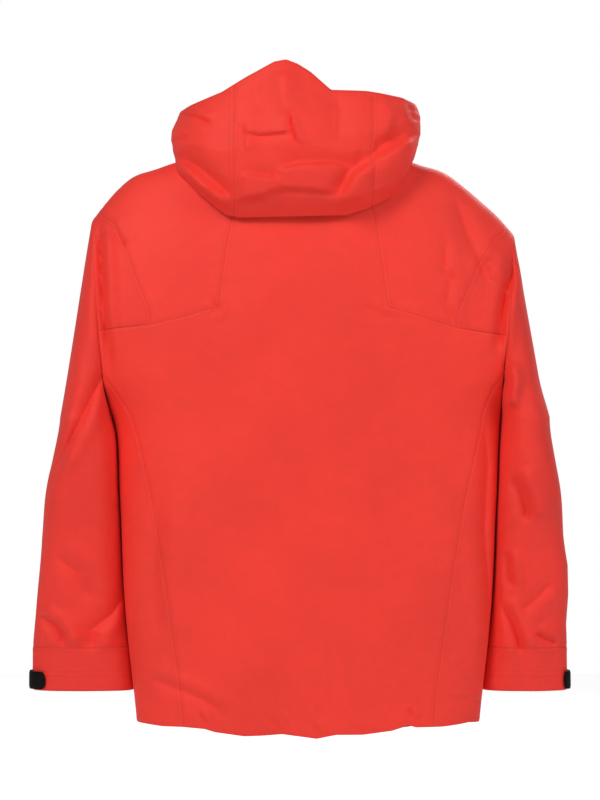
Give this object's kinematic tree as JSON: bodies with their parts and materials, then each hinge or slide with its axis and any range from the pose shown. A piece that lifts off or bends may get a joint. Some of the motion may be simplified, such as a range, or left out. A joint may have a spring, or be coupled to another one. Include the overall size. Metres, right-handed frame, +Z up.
{
  "type": "hardshell jacket",
  "caption": "Hooded waterproof shell jacket with raglan-seamed shoulders, shaped side panels, a front zip, zipped hand pockets and tabbed cuffs.",
  "frame": {"origin": "middle of the hang loop, inside the back of the collar", "axes": "+Z up the wearer, the wearer faces -Y, +X is the wearer's left"},
  "size_m": [0.7406, 0.2191, 0.909],
  "materials": {
    "shell_fabric": "matte",
    "shell_sleeve": "matte",
    "shell_trim": "matte",
    "shell_inside": "matte",
    "soft_lining": "matte",
    "black_webbing": "matte",
    "moulded_tab": "satin",
    "lock_plastic": "satin",
    "zip_plastic": "satin"
  },
  "bodies": {
    "body": {"back_panel": "shell_fabric", "shoulder_yoke_left": "shell_fabric", "shoulder_yoke_right": "shell_fabric", "sleeve_head_left": "shell_sleeve", "sleeve_head_right": "shell_sleeve", "side_panel_left": "shell_fabric", "side_panel_right": "shell_fabric", "front_panel_left": "shell_fabric", "front_panel_right": "shell_fabric", "collar_outer": "shell_fabric", "collar_lining": "soft_lining", "chin_guard": "soft_lining", "hood_neck_panel": "shell_inside", "main_zip_tape_left": "black_webbing", "main_zip_tape_right": "black_webbing", "main_zip_teeth_left": "zip_plastic", "main_zip_teeth_right": "zip_plastic", "main_zip_box": "zip_plastic", "storm_flap": "shell_inside", "pocket_bag_left": "soft_lining", "pocket_bag_right": "soft_lining", "hem_facing": "shell_inside", "hem_cord": "black_webbing", "cord_lock_left": "lock_plastic", "cord_lock_right": "lock_plastic", "hang_loop": "black_webbing", "pocket_zip_tape_front_left": "black_webbing", "pocket_zip_tape_rear_left": "black_webbing", "pocket_zip_teeth_left": "zip_plastic", "pocket_zip_tape_front_right": "black_webbing", "pocket_zip_tape_rear_right": "black_webbing", "pocket_zip_teeth_right": "zip_plastic"},
    "hood": {"hood_crown": "shell_fabric", "hood_side_left": "shell_fabric", "hood_side_right": "shell_fabric", "hood_brim": "shell_trim"},
    "upper_arm_left": {"upper_sleeve_left": "shell_sleeve"},
    "forearm_left": {"lower_sleeve_left": "shell_sleeve", "cuff_left": "shell_trim", "cuff_loop_patch_left": "black_webbing", "cuff_tab_base_left": "moulded_tab"},
    "cuff_tab_left": {"cuff_tab_left": "moulded_tab"},
    "pocket_slider_left": {"pocket_zip_left_slider": "zip_plastic"},
    "pocket_puller_left": {"pocket_zip_left_puller": "zip_plastic"},
    "cord_lock_plunger_left": {"cord_lock_plunger_left": "lock_plastic"},
    "upper_arm_right": {"upper_sleeve_right": "shell_sleeve"},
    "forearm_right": {"lower_sleeve_right": "shell_sleeve", "cuff_right": "shell_trim", "cuff_loop_patch_right": "black_webbing", "cuff_tab_base_right": "moulded_tab"},
    "cuff_tab_right": {"cuff_tab_right": "moulded_tab"},
    "pocket_slider_right": {"pocket_zip_right_slider": "zip_plastic"},
    "pocket_puller_right": {"pocket_zip_right_puller": "zip_plastic"},
    "cord_lock_plunger_right": {"cord_lock_plunger_right": "lock_plastic"},
    "main_zip_slider": {"main_zip_slider": "zip_plastic"},
    "main_zip_puller": {"main_zip_puller": "zip_plastic"}
  },
  "joints": [
    {"name": "hood_raise", "type": "hinge", "parent": "body", "child": "hood", "pos_m": [0, -0.083, 0.084], "axis": [1, 0, 0], "range_deg": [0, 90], "deforming": ["hood_neck_panel"]},
    {"name": "sleeve_raise_left", "type": "hinge", "parent": "body", "child": "upper_arm_left", "pos_m": [0.2842, -0.057, -0.099], "axis": [0, -1, 0], "range_deg": [0, 75]},
    {"name": "elbow_bend_left", "type": "hinge", "parent": "upper_arm_left", "child": "forearm_left", "pos_m": [0.3005, -0.1252, -0.464], "axis": [-1, 0, 0], "range_deg": [0, 80]},
    {"name": "cuff_tab_peel_left", "type": "hinge", "parent": "forearm_left", "child": "cuff_tab_left", "pos_m": [0.37001, -0.07651, -0.709], "axis": [0, 0, -1], "range_deg": [0, 100]},
    {"name": "pocket_zip_slide_left", "type": "slide", "parent": "body", "child": "pocket_slider_left", "axis": [0, 0, -1], "range_m": [0, 0.135]},
    {"name": "pocket_puller_swing_left", "type": "hinge", "parent": "pocket_slider_left", "child": "pocket_puller_left", "pos_m": [0.15106, -0.13497, -0.395], "axis": [-0.987, -0.1606, 0], "range_deg": [0, 150]},
    {"name": "cord_lock_press_left", "type": "slide", "parent": "body", "child": "cord_lock_plunger_left", "axis": [1, 0, 0], "range_m": [0, 0.0035], "stiffness_N_per_m": 400, "springref_m": -0.002},
    {"name": "sleeve_raise_right", "type": "hinge", "parent": "body", "child": "upper_arm_right", "pos_m": [-0.2842, -0.057, -0.099], "axis": [0, 1, 0], "range_deg": [0, 75]},
    {"name": "elbow_bend_right", "type": "hinge", "parent": "upper_arm_right", "child": "forearm_right", "pos_m": [-0.3005, -0.1252, -0.464], "axis": [-1, 0, 0], "range_deg": [0, 80]},
    {"name": "cuff_tab_peel_right", "type": "hinge", "parent": "forearm_right", "child": "cuff_tab_right", "pos_m": [-0.37001, -0.07651, -0.709], "axis": [0, 0, 1], "range_deg": [0, 100]},
    {"name": "pocket_zip_slide_right", "type": "slide", "parent": "body", "child": "pocket_slider_right", "axis": [0, 0, -1], "range_m": [0, 0.135]},
    {"name": "pocket_puller_swing_right", "type": "hinge", "parent": "pocket_slider_right", "child": "pocket_puller_right", "pos_m": [-0.15106, -0.13497, -0.395], "axis": [-0.987, 0.1606, 0], "range_deg": [0, 150]},
    {"name": "cord_lock_press_right", "type": "slide", "parent": "body", "child": "cord_lock_plunger_right", "axis": [-1, 0, 0], "range_m": [0, 0.0035], "stiffness_N_per_m": 400, "springref_m": -0.002},
    {"name": "main_zip_slide", "type": "slide", "parent": "body", "child": "main_zip_slider", "axis": [0, 0, -1], "range_m": [0, 0.745]},
    {"name": "main_puller_swing", "type": "hinge", "parent": "main_zip_slider", "child": "main_zip_puller", "pos_m": [0, -0.1409, -0.0105], "axis": [-1, 0, 0], "range_deg": [0, 150]}
  ]
}
